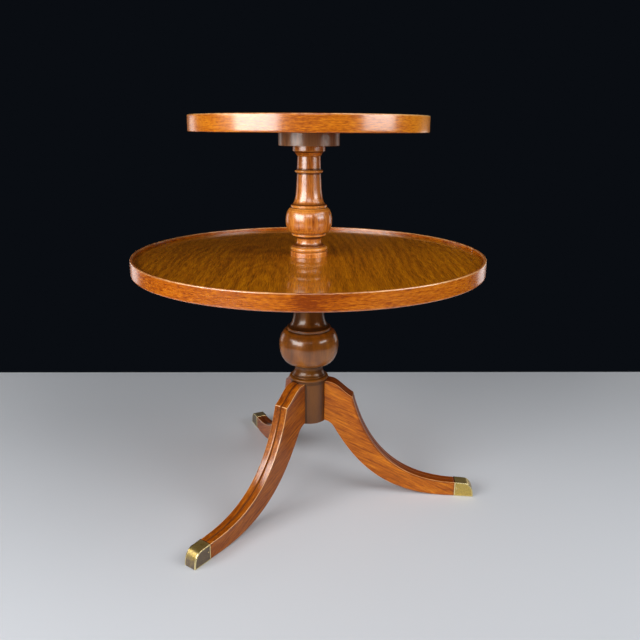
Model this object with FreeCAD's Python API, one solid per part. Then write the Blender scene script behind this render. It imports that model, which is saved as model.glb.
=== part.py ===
import FreeCAD, Part
import math
import os

# Two-tier tripod side table: two hooped round trays on turned columns, with three sabre legs
# dovetailed into a hub and shod with brass toe caps. Millimetres, +Z up. The origin is on the
# floor, on the axis of the columns. The first leg points along -Y.

# Trays. The upper panel, rim and block repeat the lower ones at another size.
lower_tray_diameter = 609.6
upper_tray_diameter = 400.0
panel_thickness = 18.0
rim_thickness = 4.8
rim_height = 26.5
rim_lip = 6.0
rim_edge_radius = 1.5
lower_block_diameter = 140.0
lower_block_thickness = 25.0
upper_block_diameter = 103.5
upper_block_thickness = 24.3
block_edge_radius = 1.0

# Wood screws that go up through the blocks into the panels
screw_count = 4
screw_diameter = 4.2
screw_head_diameter = 8.4
screw_bite = 11.0
screw_point_length = 4.0
lower_screw_circle = 108.0
upper_screw_circle = 76.0

# Lower column, from the hub up. Heights follow each other and add up to the tray's height.
hub_floor_gap = 145.0
hub_diameter = 67.0
hub_height = 81.0
base_ring_diameter = 72.0
base_ring_height = 5.4
base_groove_diameter = 61.0
base_groove_height = 0.8
base_fillet_diameter = 62.5
base_fillet_height = 1.0
base_bell_height = 15.3
lower_waist_diameter = 50.4
lower_waist_height = 3.0
lower_collar_diameter = 54.0
lower_collar_height = 4.5
lower_bulb_foot_diameter = 66.0
lower_bulb_diameter = 108.6
lower_bulb_foot_height = 35.0
lower_bulb_shoulder_height = 28.8
lower_quirk_diameter = 78.0
lower_quirk_height = 1.0
lower_bulb_ring_diameter = 79.5
lower_bulb_ring_height = 4.0
lower_flare_height = 60.2
lower_neck_diameter = 50.0
lower_bead_diameter = 57.0
lower_bead_height = 6.0
lower_neck_height = 9.5
lower_cavetto_diameter = 58.0
lower_cavetto_height = 4.5
lower_capital_diameter = 66.0
lower_capital_height = 7.7
lower_tenon_diameter = 38.0

# Upper column, from the lower tray up
band_diameter = 65.0
band_height = 7.0
band_groove_diameter = 60.6
band_groove_height = 2.5
foot_bead_diameter = 64.6
foot_bead_height = 7.0
foot_fillet_diameter = 54.0
foot_fillet_height = 1.5
scotia_diameter = 42.4
scotia_lower_height = 9.0
scotia_upper_height = 9.0
upper_collar_diameter = 60.4
upper_collar_height = 3.2
upper_bulb_foot_diameter = 59.4
upper_bulb_seat_height = 1.0
upper_bulb_diameter = 80.8
upper_bulb_foot_height = 21.3
upper_bulb_shoulder_height = 21.9
upper_quirk_diameter = 60.5
upper_quirk_height = 0.9
upper_bulb_ring_diameter = 62.0
upper_bulb_ring_height = 3.2
upper_flare_height = 54.5
upper_neck_diameter = 41.0
upper_bead_diameter = 48.6
upper_bead_height = 5.0
upper_neck_height = 22.2
upper_neck_top_diameter = 39.2
upper_splay_diameter = 51.2
upper_splay_height = 8.5
upper_capital_diameter = 55.0
upper_capital_height = 8.8
upper_tenon_diameter = 30.0

# Shape of both flared necks: how far each handle keeps off the neck, and how far it reaches
flare_foot_spread = 0.10
flare_foot_rise = 0.07
flare_neck_spread = 0.12
flare_neck_drop = 0.50

# Shape of the bell above the hub: how far up the slope of its foot would meet the waist
bell_bend = 0.40

# Steel stud that joins the columns through the lower tray, and its threaded insert
stud_diameter = 9.5
stud_reach_up = 45.0
stud_reach_down = 22.0
stud_chamfer = 1.0
insert_diameter = 16.0
insert_length = 25.0

# Legs, drawn by radius from the axis and height. Angles are directions of travel in degrees.
leg_names = ("front", "right", "left")
first_leg_angle = -90.0
foot_reach = 315.0
leg_width = 28.6
leg_top_drop = 2.5
knee_radius = 83.0
knee_height = 194.5
ogee_hub_handle = 21.5
ogee_knee_handle = 24.0
ogee_knee_angle = -28.7
front_knee_handle = 94.7
front_knee_angle = -75.6
front_toe_handle = 119.5
heel_step = 1.0
heel_reach = 16.5
heel_drop = 15.0
heel_handle = 8.0
heel_angle = -10.0
under_handle = 76.3
under_angle = -59.5
under_toe_handle = 121.8
sole_length = 17.0
toe_width = 22.2
toe_top = 28.0
arris = 0.8
groove_half_width = 2.0
groove_depth = 2.0
groove_lean = 53.0

# Sliding dovetails between the legs and the hub
tongue_depth = 13.0
tongue_neck_width = 12.0
tongue_tail_width = 17.0
tongue_stop = 8.0

# Brass toe caps and the pins in their sides
cap_length = 36.0
cap_wall = 1.6
cap_proud = 0.6
cap_edge = 0.7
nose_length = 17.0
nose_lip = 3.0
nose_fall = 0.8
pin_diameter = 2.4
pin_length = 9.0
pin_setback = 5.5
pin_height = 16.0

# Clearances, and how far cutters run past what they cut
glue_gap = 0.1
thread_gap = 0.05
stud_gap = 0.5
overrun = 4.0

# Heights and radii that follow from the sizes above
lower_column_heights = (
    hub_height, base_ring_height, base_groove_height, base_fillet_height, base_bell_height,
    lower_waist_height, lower_collar_height, lower_bulb_foot_height, lower_bulb_shoulder_height,
    lower_quirk_height, lower_bulb_ring_height, lower_flare_height, lower_bead_height,
    lower_neck_height, lower_cavetto_height, lower_capital_height,
)
upper_column_heights = (
    band_height, band_groove_height, foot_bead_height, foot_fillet_height, scotia_lower_height,
    scotia_upper_height, upper_collar_height, upper_bulb_seat_height, upper_bulb_foot_height,
    upper_bulb_shoulder_height, upper_quirk_height, upper_bulb_ring_height, upper_flare_height,
    upper_bead_height, upper_neck_height, upper_splay_height, upper_capital_height,
)
lower_block_bottom = hub_floor_gap + sum(lower_column_heights)
lower_panel_bottom = lower_block_bottom + lower_block_thickness
lower_panel_top = lower_panel_bottom + panel_thickness
upper_block_bottom = lower_panel_top + sum(upper_column_heights)
upper_panel_bottom = upper_block_bottom + upper_block_thickness
hub_radius = hub_diameter / 2
leg_top = hub_floor_gap + hub_height - leg_top_drop
heel_height = hub_floor_gap + heel_step
cap_back = foot_reach - cap_length
cap_top = toe_top + cap_proud
cap_half_width = toe_width / 2 + cap_proud

UP = FreeCAD.Vector(0, 0, 1)
ORIGIN = FreeCAD.Vector(0, 0, 0)
QUARTER_HANDLE = 0.5523


def at(radius, height, across=0.0):
    """A point of an outline: radius from the axis, height, and distance across the leg."""
    return FreeCAD.Vector(radius, across, height)


def line(start, end):
    return Part.LineSegment(start, end).toShape()


def bezier(*poles):
    curve = Part.BezierCurve()
    curve.setPoles(list(poles))
    return curve.toShape()


def rod(diameter, bottom, length):
    return Part.makeCylinder(diameter / 2, length, at(0, bottom), UP)


def circles(shape):
    """The full circles among a shape's edges."""
    return [edge for edge in shape.Edges if isinstance(edge.Curve, Part.Circle)]


def ring_of(shape, count, start_angle=0.0):
    """Copies of a shape, evenly spaced round the axis."""
    copies = []
    for index in range(count):
        copy = shape.copy()
        copy.rotate(ORIGIN, UP, start_angle + index * 360.0 / count)
        copies.append(copy)
    return copies


def ring_of_legs(shape):
    """Copies of a shape that belongs to the leg along +X, one for each leg."""
    return ring_of(shape, len(leg_names), first_leg_angle)


class Turning:
    """A turned piece, drawn upwards: each cut starts where the one before it ended."""

    def __init__(self, diameter, bottom):
        self.radius = diameter / 2
        self.height = bottom
        self.edges = [line(at(0, bottom), at(self.radius, bottom))]
        self.bottom = bottom

    def add(self, edge, radius, height):
        self.edges.append(edge)
        self.radius = radius
        self.height = height

    def straight(self, rise, diameter=None):
        """A plain length, tapered if it ends on another diameter."""
        radius = self.radius if diameter is None else diameter / 2
        height = self.height + rise
        self.add(line(at(self.radius, self.height), at(radius, height)), radius, height)

    def shoulder(self, diameter):
        """A level step to another diameter."""
        self.straight(0.0, diameter)

    def level_then_up(self, diameter, rise):
        """A quarter ellipse that leaves level and arrives upright."""
        radius = diameter / 2
        height = self.height + rise
        reach = QUARTER_HANDLE * (radius - self.radius)
        edge = bezier(
            at(self.radius, self.height),
            at(self.radius + reach, self.height),
            at(radius, height - QUARTER_HANDLE * rise),
            at(radius, height),
        )
        self.add(edge, radius, height)

    def up_then_level(self, diameter, rise):
        """A quarter ellipse that leaves upright and arrives level."""
        radius = diameter / 2
        height = self.height + rise
        reach = QUARTER_HANDLE * (radius - self.radius)
        edge = bezier(
            at(self.radius, self.height),
            at(self.radius, self.height + QUARTER_HANDLE * rise),
            at(radius - reach, height),
            at(radius, height),
        )
        self.add(edge, radius, height)

    def bead(self, diameter, rise, end_diameter):
        """A half-round ring."""
        self.level_then_up(diameter, rise / 2)
        self.up_then_level(end_diameter, rise / 2)

    def flare(self, diameter, rise):
        """A trumpet that narrows quickly from its foot and then runs on into the neck."""
        radius = diameter / 2
        height = self.height + rise
        spread = self.radius - radius
        edge = bezier(
            at(self.radius, self.height),
            at(radius + flare_foot_spread * spread, self.height + flare_foot_rise * rise),
            at(radius + flare_neck_spread * spread, height - flare_neck_drop * rise),
            at(radius, height),
        )
        self.add(edge, radius, height)

    def bell(self, diameter, rise):
        """A hollow slope that leaves its foot steeply and arrives upright."""
        radius = diameter / 2
        height = self.height + rise
        edge = bezier(
            at(self.radius, self.height),
            at(radius, self.height + bell_bend * rise),
            at(radius, height),
        )
        self.add(edge, radius, height)

    def solid(self):
        top = at(self.radius, self.height)
        axis_top = at(0, self.height)
        edges = self.edges + [line(top, axis_top), line(axis_top, at(0, self.bottom))]
        return Part.Face(Part.Wire(edges)).revolve(ORIGIN, UP, 360)


def screw(block_bottom, block_thickness, gap=0.0):
    """A countersunk wood screw on the axis, or with a gap the hole that it needs."""
    head_height = (screw_head_diameter - screw_diameter) / 2
    shape = Turning(screw_head_diameter + 2 * gap, block_bottom)
    shape.straight(head_height, screw_diameter + 2 * gap)
    shape.straight(block_thickness + screw_bite - head_height - screw_point_length)
    shape.straight(screw_point_length + gap, screw_diameter / 4 + 2 * gap)
    return shape.solid()


def screws(circle_diameter, block_bottom, block_thickness, gap=0.0):
    shape = screw(block_bottom, block_thickness, gap)
    shape.translate(at(circle_diameter / 2, 0))
    return ring_of(shape, screw_count, 180.0 / screw_count)


def rim(tray_diameter, panel_bottom):
    """The bent hoop: it stands above the panel by the lip and covers the panel's edge."""
    top = panel_bottom + panel_thickness + rim_lip
    bottom = top - rim_height
    hoop = rod(tray_diameter, bottom, rim_height)
    hoop = hoop.cut(rod(tray_diameter - 2 * rim_thickness, bottom, rim_height))
    return hoop.makeFillet(rim_edge_radius, circles(hoop))


def panel(tray_diameter, bottom, holes):
    disc = rod(tray_diameter - 2 * (rim_thickness + glue_gap), bottom, panel_thickness)
    return disc.cut(Part.makeCompound(holes))


def block(diameter, thickness, bottom, tenon_diameter, holes):
    """The round block that carries a tray on the tenon of its column."""
    disc = rod(diameter, bottom, thickness)
    lower_edge = [edge for edge in circles(disc) if edge.CenterOfMass.z < bottom + thickness / 2]
    disc = disc.makeFillet(block_edge_radius, lower_edge)
    socket = rod(tenon_diameter + 2 * glue_gap, bottom, thickness)
    return disc.cut(Part.makeCompound([socket] + holes))


def lower_column():
    """The turned column and its hub, with a dovetail socket for each leg."""
    turning = Turning(hub_diameter, hub_floor_gap)
    turning.straight(hub_height)
    turning.bead(base_ring_diameter, base_ring_height, base_groove_diameter)
    turning.straight(base_groove_height)
    turning.shoulder(base_fillet_diameter)
    turning.straight(base_fillet_height)
    turning.bell(lower_waist_diameter, base_bell_height)
    turning.straight(lower_waist_height)
    turning.bead(lower_collar_diameter, lower_collar_height, lower_waist_diameter)
    turning.shoulder(lower_bulb_foot_diameter)
    turning.level_then_up(lower_bulb_diameter, lower_bulb_foot_height)
    turning.up_then_level(lower_quirk_diameter, lower_bulb_shoulder_height)
    turning.straight(lower_quirk_height)
    turning.shoulder(lower_bulb_ring_diameter)
    turning.straight(lower_bulb_ring_height)
    turning.flare(lower_neck_diameter, lower_flare_height)
    turning.bead(lower_bead_diameter, lower_bead_height, lower_neck_diameter)
    turning.straight(lower_neck_height)
    turning.up_then_level(lower_cavetto_diameter, lower_cavetto_height)
    turning.shoulder(lower_capital_diameter)
    turning.straight(lower_capital_height)
    turning.shoulder(lower_tenon_diameter)
    turning.straight(lower_block_thickness)
    column = turning.solid()
    insert_hole = rod(insert_diameter + 2 * thread_gap, lower_panel_bottom - insert_length, insert_length)
    sockets = ring_of_legs(tongue(glue_gap))
    return column.cut(Part.makeCompound([insert_hole] + sockets))


def upper_column():
    turning = Turning(band_diameter, lower_panel_top)
    turning.straight(band_height)
    turning.straight(band_groove_height, band_groove_diameter)
    turning.bead(foot_bead_diameter, foot_bead_height, foot_fillet_diameter)
    turning.straight(foot_fillet_height)
    turning.level_then_up(scotia_diameter, scotia_lower_height)
    turning.up_then_level(upper_collar_diameter, scotia_upper_height)
    turning.straight(upper_collar_height)
    turning.shoulder(upper_bulb_foot_diameter)
    turning.straight(upper_bulb_seat_height)
    turning.level_then_up(upper_bulb_diameter, upper_bulb_foot_height)
    turning.up_then_level(upper_quirk_diameter, upper_bulb_shoulder_height)
    turning.straight(upper_quirk_height)
    turning.shoulder(upper_bulb_ring_diameter)
    turning.straight(upper_bulb_ring_height)
    turning.flare(upper_neck_diameter, upper_flare_height)
    turning.bead(upper_bead_diameter, upper_bead_height, upper_neck_diameter)
    turning.straight(upper_neck_height, upper_neck_top_diameter)
    turning.straight(upper_splay_height, upper_splay_diameter)
    turning.shoulder(upper_capital_diameter)
    turning.straight(upper_capital_height)
    turning.shoulder(upper_tenon_diameter)
    turning.straight(upper_block_thickness)
    return turning.solid().cut(rod(stud_diameter + 2 * thread_gap, lower_panel_top, stud_reach_up))


def coupling_stud():
    length = stud_reach_down + panel_thickness + stud_reach_up
    stud = rod(stud_diameter, lower_panel_bottom - stud_reach_down, length)
    return stud.makeChamfer(stud_chamfer, circles(stud))


def coupling_insert():
    bottom = lower_panel_bottom - insert_length
    sleeve = rod(insert_diameter, bottom, insert_length)
    return sleeve.cut(rod(stud_diameter + 2 * thread_gap, bottom, insert_length))


def tongue(gap=0.0):
    """The dovetail on a leg's inner end along +X, or with a gap the socket that it slides into."""
    inner = hub_radius - tongue_depth - gap
    outer = hub_radius + overrun
    tail = tongue_tail_width / 2 + gap
    neck = tongue_neck_width / 2 + gap
    corners = [
        at(inner, hub_floor_gap, -tail),
        at(outer, hub_floor_gap, -neck),
        at(outer, hub_floor_gap, neck),
        at(inner, hub_floor_gap, tail),
    ]
    plan = Part.Face(Part.makePolygon(corners + corners[:1]))
    return plan.extrude(UP * (leg_top - tongue_stop + gap - hub_floor_gap))


def leg_half_width(radius):
    """Half of a leg's width, which tapers evenly from the hub to the toe cap."""
    share = (radius - hub_radius) / (cap_back - hub_radius)
    return (leg_width + share * (toe_width - leg_width)) / 2


def handle(start, length, degrees):
    """A curve's handle: a point this far from start in this direction, as radius and height."""
    angle = math.radians(degrees)
    return (start[0] + length * math.cos(angle), start[1] + length * math.sin(angle))


def leg_section(across, sink=0.0):
    """A leg's side outline at across(radius) from its middle plane, with its top line sunk."""
    lean = math.radians(groove_lean)
    shift = (-sink * math.cos(lean), -sink * math.sin(lean))

    def below(point):
        return at(point[0], point[1], across(point[0]))

    def top(point):
        return below((point[0] + shift[0], point[1] + shift[1]))

    inner = hub_radius / 2
    end = cap_back + overrun
    hub_corner = (hub_radius, leg_top)
    knee = (knee_radius, knee_height)
    toe = (cap_back, toe_top)
    sole = (cap_back - sole_length, cap_proud)
    heel = (hub_radius, heel_height)
    haunch = (hub_radius + heel_reach, heel_height - heel_drop)
    ogee = [hub_corner, handle(hub_corner, ogee_hub_handle, 0.0),
            handle(knee, -ogee_knee_handle, ogee_knee_angle), knee]
    front = [knee, handle(knee, front_knee_handle, front_knee_angle),
             handle(toe, -front_toe_handle, 0.0), toe]
    under = [sole, handle(sole, -under_toe_handle, 0.0),
             handle(haunch, under_handle, under_angle), haunch]
    curl = [haunch, handle(haunch, -heel_handle, under_angle),
            handle(heel, heel_handle, heel_angle), heel]
    edges = [
        line(top((inner, leg_top)), top(hub_corner)),
        bezier(*map(top, ogee)),
        bezier(*map(top, front)),
        line(top(toe), top((end, toe_top))),
        line(top((end, toe_top)), below((end, cap_proud))),
        line(below((end, cap_proud)), below(sole)),
        bezier(*map(below, under)),
        bezier(*map(below, curl)),
        line(below(heel), below((inner, heel_height))),
        line(below((inner, heel_height)), top((inner, leg_top))),
    ]
    return Part.Wire(edges)


def leg():
    """A sabre leg along +X: side outlines joined across its width give its arrises and V-groove,
    then it is coped to the hub and gets its dovetail and the core that fills its toe cap."""
    sections = [
        leg_section(lambda radius: -leg_half_width(radius), arris),
        leg_section(lambda radius: arris - leg_half_width(radius)),
        leg_section(lambda radius: -groove_half_width),
        leg_section(lambda radius: 0.0, groove_depth),
        leg_section(lambda radius: groove_half_width),
        leg_section(lambda radius: leg_half_width(radius) - arris),
        leg_section(lambda radius: leg_half_width(radius), arris),
    ]
    blank = Part.makeLoft(sections, True, True)
    past_cap = Part.makeBox(2 * overrun, leg_width, leg_top, at(cap_back, 0, -leg_width / 2))
    hub = rod(hub_diameter + 2 * glue_gap, 0, leg_top + overrun)
    blank = blank.cut(Part.makeCompound([past_cap, hub]))
    return blank.fuse([tongue(), toe_core()]).removeSplitter().cut(Part.makeCompound(pins(thread_gap)))


def cap_outline(inset, across, back=cap_back):
    """A toe cap's side outline, drawn in by inset, with its rounded nose at the toe's tip."""
    tip = foot_reach - inset
    crown = (foot_reach - nose_length, cap_top - nose_fall - inset)
    lip = nose_lip + inset
    edges = [
        line(at(back, inset, across), at(tip, inset, across)),
        line(at(tip, inset, across), at(tip, lip, across)),
        bezier(
            at(tip, lip, across),
            at(tip, lip + QUARTER_HANDLE * (crown[1] - lip), across),
            at(crown[0] + QUARTER_HANDLE * (tip - crown[0]), crown[1], across),
            at(crown[0], crown[1], across),
        ),
        line(at(crown[0], crown[1], across), at(back, cap_top - inset, across)),
        line(at(back, cap_top - inset, across), at(back, inset, across)),
    ]
    return Part.Wire(edges)


def cap_filling(inset, back):
    """What a toe cap's outline encloses, drawn in by inset on every side."""
    half_width = cap_half_width - inset
    face = Part.Face(cap_outline(inset, -half_width, back))
    return face.extrude(at(0, 0, 2 * half_width))


def toe_core():
    return cap_filling(cap_wall + glue_gap, cap_back - overrun)


def toe_cap():
    shell = Part.makeLoft([
        cap_outline(cap_edge, -cap_half_width),
        cap_outline(0.0, cap_edge - cap_half_width),
        cap_outline(0.0, cap_half_width - cap_edge),
        cap_outline(cap_edge, cap_half_width),
    ], True, True)
    return shell.cut(Part.makeCompound([cap_filling(cap_wall, cap_back - overrun)] + pins(thread_gap)))


def pins(gap=0.0):
    """The two pins in the sides of the cap on the leg along +X, or with a gap their holes."""
    shapes = []
    for side in (-1, 1):
        head = at(cap_back + pin_setback, pin_height, side * cap_half_width)
        inward = FreeCAD.Vector(0, -side, 0)
        shapes.append(Part.makeCylinder(pin_diameter / 2 + gap, pin_length + gap, head, inward))
    return shapes


def build():
    """Every node of the table by its name."""
    lower_holes = screws(lower_screw_circle, lower_block_bottom, lower_block_thickness, thread_gap)
    upper_holes = screws(upper_screw_circle, upper_block_bottom, upper_block_thickness, thread_gap)
    stud_hole = rod(stud_diameter + 2 * stud_gap, lower_panel_bottom, panel_thickness)
    nodes = {
        "lower_tray_panel": panel(lower_tray_diameter, lower_panel_bottom, lower_holes + [stud_hole]),
        "lower_tray_rim": rim(lower_tray_diameter, lower_panel_bottom),
        "lower_tray_block": block(
            lower_block_diameter, lower_block_thickness, lower_block_bottom, lower_tenon_diameter, lower_holes
        ),
        "lower_block_screws": Part.makeCompound(
            screws(lower_screw_circle, lower_block_bottom, lower_block_thickness)
        ),
        "lower_column": lower_column(),
        "coupling_stud": coupling_stud(),
        "coupling_insert": coupling_insert(),
        "upper_column": upper_column(),
        "upper_tray_block": block(
            upper_block_diameter, upper_block_thickness, upper_block_bottom, upper_tenon_diameter, upper_holes
        ),
        "upper_block_screws": Part.makeCompound(
            screws(upper_screw_circle, upper_block_bottom, upper_block_thickness)
        ),
        "upper_tray_panel": panel(upper_tray_diameter, upper_panel_bottom, upper_holes),
        "upper_tray_rim": rim(upper_tray_diameter, upper_panel_bottom),
    }
    for place, leg_copy, cap_copy in zip(leg_names, ring_of_legs(leg()), ring_of_legs(toe_cap())):
        nodes[f"leg_{place}"] = leg_copy
        nodes[f"toe_cap_{place}"] = cap_copy
    nodes["toe_cap_pins"] = Part.makeCompound(ring_of_legs(Part.makeCompound(pins())))
    return nodes


os.makedirs("parts", exist_ok=True)
for name, shape in build().items():
    shape.exportStep(f"parts/{name}.step")
    print(name, "solids", len(shape.Solids), "valid", shape.isValid(), "litres", round(shape.Volume / 1e6, 4))
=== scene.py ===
# %% [markdown]
# # A two-tier tripod side table
# The table is mahogany: two round trays with bent hoop rims, two turned columns, three grooved
# sabre legs and brass toe caps. Every piece was already built as a solid at its real size. This
# lesson loads those solids as a fixed frame, remakes the pieces whose edges and grain matter
# most as smooth surfaces in the same places, and then gives every surface its finish.

# %% Load the frame
import math

import bmesh
import bpy
import numpy as np
from mathutils import Matrix, Vector


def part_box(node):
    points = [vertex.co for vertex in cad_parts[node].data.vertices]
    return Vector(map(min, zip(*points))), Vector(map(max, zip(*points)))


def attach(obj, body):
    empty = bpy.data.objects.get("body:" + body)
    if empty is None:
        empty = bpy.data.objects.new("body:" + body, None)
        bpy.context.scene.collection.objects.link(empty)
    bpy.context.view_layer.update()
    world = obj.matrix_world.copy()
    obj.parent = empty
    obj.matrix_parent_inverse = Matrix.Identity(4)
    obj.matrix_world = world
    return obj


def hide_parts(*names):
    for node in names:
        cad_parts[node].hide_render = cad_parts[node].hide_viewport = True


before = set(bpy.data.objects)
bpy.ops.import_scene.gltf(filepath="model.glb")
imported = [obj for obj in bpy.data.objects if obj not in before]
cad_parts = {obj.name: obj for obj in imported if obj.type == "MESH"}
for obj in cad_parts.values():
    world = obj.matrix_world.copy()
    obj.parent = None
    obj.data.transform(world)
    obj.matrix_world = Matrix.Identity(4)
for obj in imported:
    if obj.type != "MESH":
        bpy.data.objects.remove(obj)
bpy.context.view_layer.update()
MM = 0.001

# %% [markdown]
# ## Outlines
# Turned and sawn pieces are drawn as outlines first. A maker never leaves a razor edge. A Bevel
# modifier could ease the edges of a finished mesh, but a small helper on the outline is simpler:
# it rounds each real corner and leaves the smooth stretches alone. Another helper splits long
# steps, because evenly sized faces shade more cleanly than long ones.

# %% Helpers for outlines
CORNER_TURN = math.radians(14)
SAME_POINT = 2e-6
MOST_OF_SIDE = 0.48


def bezier(poles, count):
    """A cubic curve: the poles weighted by (1-t)^3, 3t(1-t)^2, 3t^2(1-t) and t^3."""
    t = np.linspace(0.0, 1.0, count)[:, None]
    a, b, c, d = np.asarray(poles, float)
    return a * (1 - t) ** 3 + 3 * b * t * (1 - t) ** 2 + 3 * c * t ** 2 * (1 - t) + d * t ** 3


def steps_of(line):
    """The length of each step of an outline."""
    return np.linalg.norm(np.diff(line, axis=0), axis=1)


def walked(line):
    """The distance walked along an outline, at each of its points."""
    return np.concatenate([[0.0], np.cumsum(steps_of(line))])


def distinct(line):
    """The outline without points that repeat the one before."""
    keep = np.concatenate([[True], steps_of(line) > SAME_POINT])
    return line[keep]


def soften(line, radius, steps=6):
    """Each corner C gives way to the parabola (1-t)^2 A + 2t(1-t) C + t^2 B, where A and B lie on
    its two sides, `radius` from C or just short of the sides' middles. Smooth points stay."""
    line = distinct(line)
    corner = line[1:-1]
    back, ahead = line[:-2] - corner, line[2:] - corner
    back_length = np.linalg.norm(back, axis=1, keepdims=True)
    ahead_length = np.linalg.norm(ahead, axis=1, keepdims=True)
    straight = -(back * ahead).sum(1, keepdims=True) / (back_length * ahead_length)
    reach = np.where(np.arccos(np.clip(straight, -1, 1)) > CORNER_TURN, radius, 0.0)
    start = corner + back * np.minimum(reach / back_length, MOST_OF_SIDE)
    end = corner + ahead * np.minimum(reach / ahead_length, MOST_OF_SIDE)
    t = np.linspace(0.0, 1.0, steps + 1)[None, :, None]
    arcs = (1 - t) ** 2 * start[:, None] + 2 * t * (1 - t) * corner[:, None] + t ** 2 * end[:, None]
    return distinct(np.concatenate([line[:1], arcs.reshape(-1, 2), line[-1:]]))


def densify(line, spacing):
    """Splits each step of an outline into equal parts that are no longer than `spacing`."""
    parts = np.ceil(steps_of(line) / spacing).astype(int)
    first = np.repeat(np.arange(len(parts)), parts)
    share = (np.arange(parts.sum()) - np.repeat(np.cumsum(parts) - parts, parts)) / parts[first]
    inner = line[first] + share[:, None] * (line[first + 1] - line[first])
    return np.vstack([inner, line[-1:]])


square = np.array([[0.0, 0.0], [1.0, 0.0], [1.0, 1.0]])
print("a rounded corner:", np.round(soften(square, 0.2, 2), 3).tolist())

# %% [markdown]
# ## From a grid of points to a mesh
# Every piece of wood or brass has a skin that can be walked in two directions, such as along a leg
# and round it. Curves and modifiers could make some of these skins, but with points of our own it
# is easy to add marks, such as how worn an edge is, for the finishes to read. So each piece is
# worked out as a grid of points. One helper joins neighbours with quads, merges doubled points,
# which closes seams and poles, and turns the faces outwards.

# %% Weave grids into a mesh
MERGE_DISTANCE = 1e-6


def weave(name, grids, marks):
    """A smooth mesh of one or more (rows, columns, 3) grids. `marks` maps a name to one array per
    grid: (rows, columns) for a number at each point, or (rows, columns, 3) for a vector."""
    quads, first = [], 0
    for grid in grids:
        index = first + np.arange(grid.shape[0] * grid.shape[1]).reshape(grid.shape[:2])
        corners = [index[:-1, :-1], index[:-1, 1:], index[1:, 1:], index[1:, :-1]]
        quads.append(np.stack(corners, -1).reshape(-1, 4))
        first += index.size
    points = np.concatenate([grid.reshape(-1, 3) for grid in grids])
    mesh = bpy.data.meshes.new(name)
    mesh.from_pydata(points.tolist(), [], np.concatenate(quads).tolist())
    for mark_name, arrays in marks.items():
        is_vector = arrays[0].ndim == 3
        attribute = mesh.attributes.new(mark_name, "FLOAT_VECTOR" if is_vector else "FLOAT", "POINT")
        values = np.concatenate([array.ravel() for array in arrays]).astype(np.float32)
        attribute.data.foreach_set("vector" if is_vector else "value", values)
    shell = bmesh.new()
    shell.from_mesh(mesh)
    bmesh.ops.remove_doubles(shell, verts=shell.verts, dist=MERGE_DISTANCE)
    bmesh.ops.recalc_face_normals(shell, faces=shell.faces)
    shell.to_mesh(mesh)
    shell.free()
    mesh.polygons.foreach_set("use_smooth", np.ones(len(mesh.polygons), bool))
    piece = bpy.data.objects.new(name, mesh)
    bpy.context.scene.collection.objects.link(piece)
    return piece


def stand_in(piece, node):
    """The new piece takes the place of a solid of the frame: it hangs from the root body, and the solid is
    hidden.
    """
    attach(piece, "root")
    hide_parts(node)
    print(piece.name, "for", node, "-", len(piece.data.polygons), "faces")
    return piece


def node_points(node):
    """The vertices of a solid of the frame as an array."""
    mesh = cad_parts[node].data
    flat = np.empty(len(mesh.vertices) * 3, np.float32)
    mesh.vertices.foreach_get("co", flat)
    return flat.reshape(-1, 3).astype(float)


print("helpers ready: weave, stand_in, node_points")

# %% [markdown]
# ## The hoop rims
# Each rim is a thin strip of wood, steamed, bent round the panel and joined at one place. It could
# be a torus with a square section, but a real strip has two ends, and the grain runs along it. So
# the section is carried along an arc that stops short of a full turn, and both ends are closed.
# Every point is marked with its place along the strip, which the finish uses as its grain, and
# with how near it is to the two top edges, which are painted pale: partly wear, partly a painted
# highlight.

# %% Bend the rims
RIM_EDGE = 2.2 * MM
RIM_FACE = 2.2 * MM
RIM_STATIONS = 361
RIM_JOINT_GAP = 0.25 * MM
# The rim stays this far inside its solid, so that the look doesn't outgrow it.
RIM_CLEAR = 0.1 * MM
# How far the pale top edges reach: partly wear, partly a painted highlight.
RIM_WEAR_AND_HIGHLIGHT_REACH = 2.4 * MM
LOWER_RIM_JOINT = math.radians(43.6)
UPPER_RIM_JOINT = math.radians(150.0)


def bent_rim(name, node, joint):
    """Section point (radius, height) at angle a: (radius cos a, radius sin a, height), for a from
    just past the joint to just short of it, with each end drawn to the middle of the section.
    The pale edge, partly wear and partly a painted highlight, is exp(-(d /
    RIM_WEAR_AND_HIGHLIGHT_REACH)^2), with d the distance from the nearer top edge."""
    points = node_points(node)
    radii = np.hypot(points[:, 0], points[:, 1])
    inner, outer = radii.min(), radii.max() - RIM_CLEAR
    low, high = points[:, 2].min(), points[:, 2].max()
    middle = np.array([(inner + outer) / 2, (low + high) / 2])
    corners = np.array([(inner, low), (outer, low), (outer, high), (inner, high)])
    start = np.array([(inner, middle[1])])
    section = densify(soften(np.concatenate([start, corners, start]), RIM_EDGE), RIM_FACE)
    half_gap = RIM_JOINT_GAP / 2 / middle[0]
    angle = joint + np.linspace(half_gap, 2 * np.pi - half_gap, RIM_STATIONS)
    angle = np.concatenate([angle[:1], angle, angle[-1:]])[:, None]
    radius = np.tile(section[:, 0], (len(angle), 1))
    height = np.tile(section[:, 1], (len(angle), 1))
    radius[[0, -1]], height[[0, -1]] = middle
    grid = np.stack([radius * np.cos(angle), radius * np.sin(angle), height], -1)
    along = np.broadcast_to((angle - joint) * middle[0], radius.shape)
    grain = np.stack([along, radius - middle[0], height - middle[1]], -1)
    top = corners[2:]
    away = np.min(np.hypot(radius[..., None] - top[:, 0], height[..., None] - top[:, 1]), -1)
    edge = np.exp(-((away / RIM_WEAR_AND_HIGHLIGHT_REACH) ** 2))
    piece = weave(name, [grid], {"grain": [grain], "edge": [edge]})
    return stand_in(piece, node)


lower_rim = bent_rim("lower_hoop", "lower_tray_rim", LOWER_RIM_JOINT)
upper_rim = bent_rim("upper_hoop", "upper_tray_rim", UPPER_RIM_JOINT)

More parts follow.
